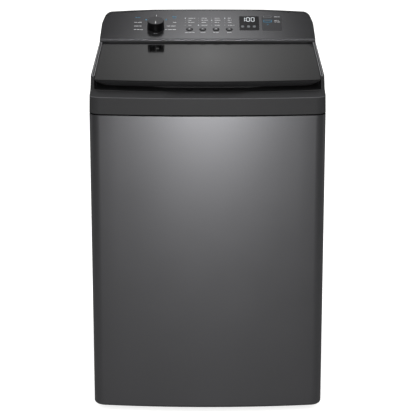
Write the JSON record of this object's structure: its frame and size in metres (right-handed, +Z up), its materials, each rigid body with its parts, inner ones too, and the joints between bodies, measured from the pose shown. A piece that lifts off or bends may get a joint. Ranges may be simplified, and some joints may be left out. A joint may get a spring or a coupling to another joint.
{
  "type": "top load washing machine",
  "caption": "Free-standing top load washing machine with a bowed graphite cabinet, a sloped flip-up lid, a rear control console with a knob, and a spinning basket with an impeller.",
  "frame": {"origin": "floor level, at the middle of the plan", "axes": "+X to the machine's right as seen from the front, +Y to the rear, +Z up"},
  "size_m": [0.65, 0.67, 1.07],
  "materials": {
    "graphite_steel": "metallic paint, satin",
    "zinc_steel": "galvanised",
    "stainless": "brushed",
    "spring_steel": "oiled",
    "cover_plastic": "fine satin moulding",
    "lid_plastic": "metallic grey, high gloss",
    "black_plastic": "fine grain",
    "fascia_plastic": "satin",
    "lens_plastic": "polished",
    "button_plastic": "satin",
    "knob_metal": "spun",
    "white_plastic": "as moulded",
    "grey_plastic": "as moulded",
    "board": "solder mask",
    "rubber": "matt",
    "cast_aluminium": "as cast",
    "motor_paint": "varnish"
  },
  "bodies": {
    "machine": {"cabinet": "graphite_steel", "back_panel": "graphite_steel", "back_panel_screws": "zinc_steel", "base_frame": "black_plastic", "foot_lock_nuts": "zinc_steel", "corner_brackets": "zinc_steel", "suspension_rods": "zinc_steel", "spring_cups": "grey_plastic", "suspension_springs": "spring_steel", "top_cover": "cover_plastic", "console_housing": "cover_plastic", "console_fascia": "fascia_plastic", "display_lens": "lens_plastic", "control_board": "board", "detergent_housing": "white_plastic", "inlet_valve": "white_plastic", "fill_hose": "rubber", "drain_outlet": "grey_plastic", "drain_hose": "rubber", "cord_gland": "rubber", "lid_lock": "white_plastic", "lid_bumpers": "rubber", "lid_hinge_pins": "zinc_steel"},
    "lid": {"lid_panel": "lid_plastic", "lid_frame": "black_plastic", "lid_liner": "grey_plastic"},
    "knob": {"knob": "black_plastic", "knob_face": "knob_metal", "knob_shaft": "zinc_steel"},
    "option_button_1": {"option_button_1": "button_plastic"},
    "option_button_2": {"option_button_2": "button_plastic"},
    "option_button_3": {"option_button_3": "button_plastic"},
    "option_button_4": {"option_button_4": "button_plastic"},
    "power_button": {"power_button": "button_plastic"},
    "start_button": {"start_button": "button_plastic"},
    "drawer": {"detergent_drawer": "white_plastic"},
    "foot_front_left": {"foot_front_left": "rubber"},
    "foot_front_right": {"foot_front_right": "rubber"},
    "foot_rear_left": {"foot_rear_left": "rubber"},
    "foot_rear_right": {"foot_rear_right": "rubber"},
    "tub": {"outer_tub": "white_plastic", "tub_ring": "white_plastic", "bearing_housing": "cast_aluminium", "upper_bearing": "zinc_steel", "lower_bearing": "zinc_steel", "tub_seal": "rubber", "support_plate": "zinc_steel", "drive_motor": "motor_paint", "drive_belt": "rubber", "drain_pump": "grey_plastic", "sump_hose": "rubber"},
    "basket": {"basket_shell": "stainless", "basket_base": "cast_aluminium", "balance_ring": "white_plastic", "lint_filters": "grey_plastic", "spin_tube": "zinc_steel"},
    "wash_drive": {"impeller": "white_plastic", "wash_shaft": "zinc_steel", "drive_pulley": "cast_aluminium"},
    "motor_rotor": {"motor_pulley": "zinc_steel"}
  },
  "joints": [
    {"name": "lid_hinge", "type": "hinge", "parent": "machine", "child": "lid", "pos_m": [0, 0.0715, 0.98004], "axis": [-1, 0, 0], "range_deg": [0, 100]},
    {"name": "knob_turn", "type": "hinge", "parent": "machine", "child": "knob", "pos_m": [-0.155, 0.16878, 1.03058], "axis": [0, -0.3468, 0.938], "continuous": true},
    {"name": "drawer_slide", "type": "slide", "parent": "machine", "child": "drawer", "axis": [0, -1, 0], "range_m": [0, 0.11]},
    {"name": "option_button_1_press", "type": "slide", "parent": "machine", "child": "option_button_1", "axis": [0, 0.3468, -0.938], "range_m": [0, 0.0015], "stiffness_N_per_m": 400, "springref_m": -0.002},
    {"name": "option_button_2_press", "type": "slide", "parent": "machine", "child": "option_button_2", "axis": [0, 0.3468, -0.938], "range_m": [0, 0.0015], "stiffness_N_per_m": 400, "springref_m": -0.002},
    {"name": "option_button_3_press", "type": "slide", "parent": "machine", "child": "option_button_3", "axis": [0, 0.3468, -0.938], "range_m": [0, 0.0015], "stiffness_N_per_m": 400, "springref_m": -0.002},
    {"name": "option_button_4_press", "type": "slide", "parent": "machine", "child": "option_button_4", "axis": [0, 0.3468, -0.938], "range_m": [0, 0.0015], "stiffness_N_per_m": 400, "springref_m": -0.002},
    {"name": "power_button_press", "type": "slide", "parent": "machine", "child": "power_button", "axis": [0, 0.3468, -0.938], "range_m": [0, 0.0015], "stiffness_N_per_m": 400, "springref_m": -0.002},
    {"name": "start_button_press", "type": "slide", "parent": "machine", "child": "start_button", "axis": [0, 0.3468, -0.938], "range_m": [0, 0.0015], "stiffness_N_per_m": 400, "springref_m": -0.002},
    {"name": "foot_front_left_turn", "type": "hinge", "parent": "machine", "child": "foot_front_left", "pos_m": [-0.276, -0.247, 0], "axis": [0, 0, 1], "continuous": true},
    {"name": "foot_front_right_turn", "type": "hinge", "parent": "machine", "child": "foot_front_right", "pos_m": [0.276, -0.247, 0], "axis": [0, 0, 1], "continuous": true},
    {"name": "foot_rear_left_turn", "type": "hinge", "parent": "machine", "child": "foot_rear_left", "pos_m": [-0.276, 0.262, 0], "axis": [0, 0, 1], "continuous": true},
    {"name": "foot_rear_right_turn", "type": "hinge", "parent": "machine", "child": "foot_rear_right", "pos_m": [0.276, 0.262, 0], "axis": [0, 0, 1], "continuous": true},
    {"name": "tub_bounce", "type": "slide", "parent": "machine", "child": "tub", "axis": [0, 0, 1], "range_m": [-0.03, 0.008], "stiffness_N_per_m": 12000, "springref_m": 0.02616, "deforming": ["suspension_springs", "drain_hose"]},
    {"name": "basket_spin", "type": "hinge", "parent": "tub", "child": "basket", "pos_m": [0, -0.012, 0.34], "axis": [0, 0, 1], "continuous": true},
    {"name": "wash_spin", "type": "hinge", "parent": "tub", "child": "wash_drive", "pos_m": [0, -0.012, 0.34], "axis": [0, 0, 1], "continuous": true},
    {"name": "motor_spin", "type": "hinge", "parent": "tub", "child": "motor_rotor", "pos_m": [0, -0.182, 0.17], "axis": [0, 0, 1], "continuous": true}
  ],
  "couplings": [
    {"joint": "motor_spin", "follows": "wash_spin", "ratio": 3.3194}
  ]
}
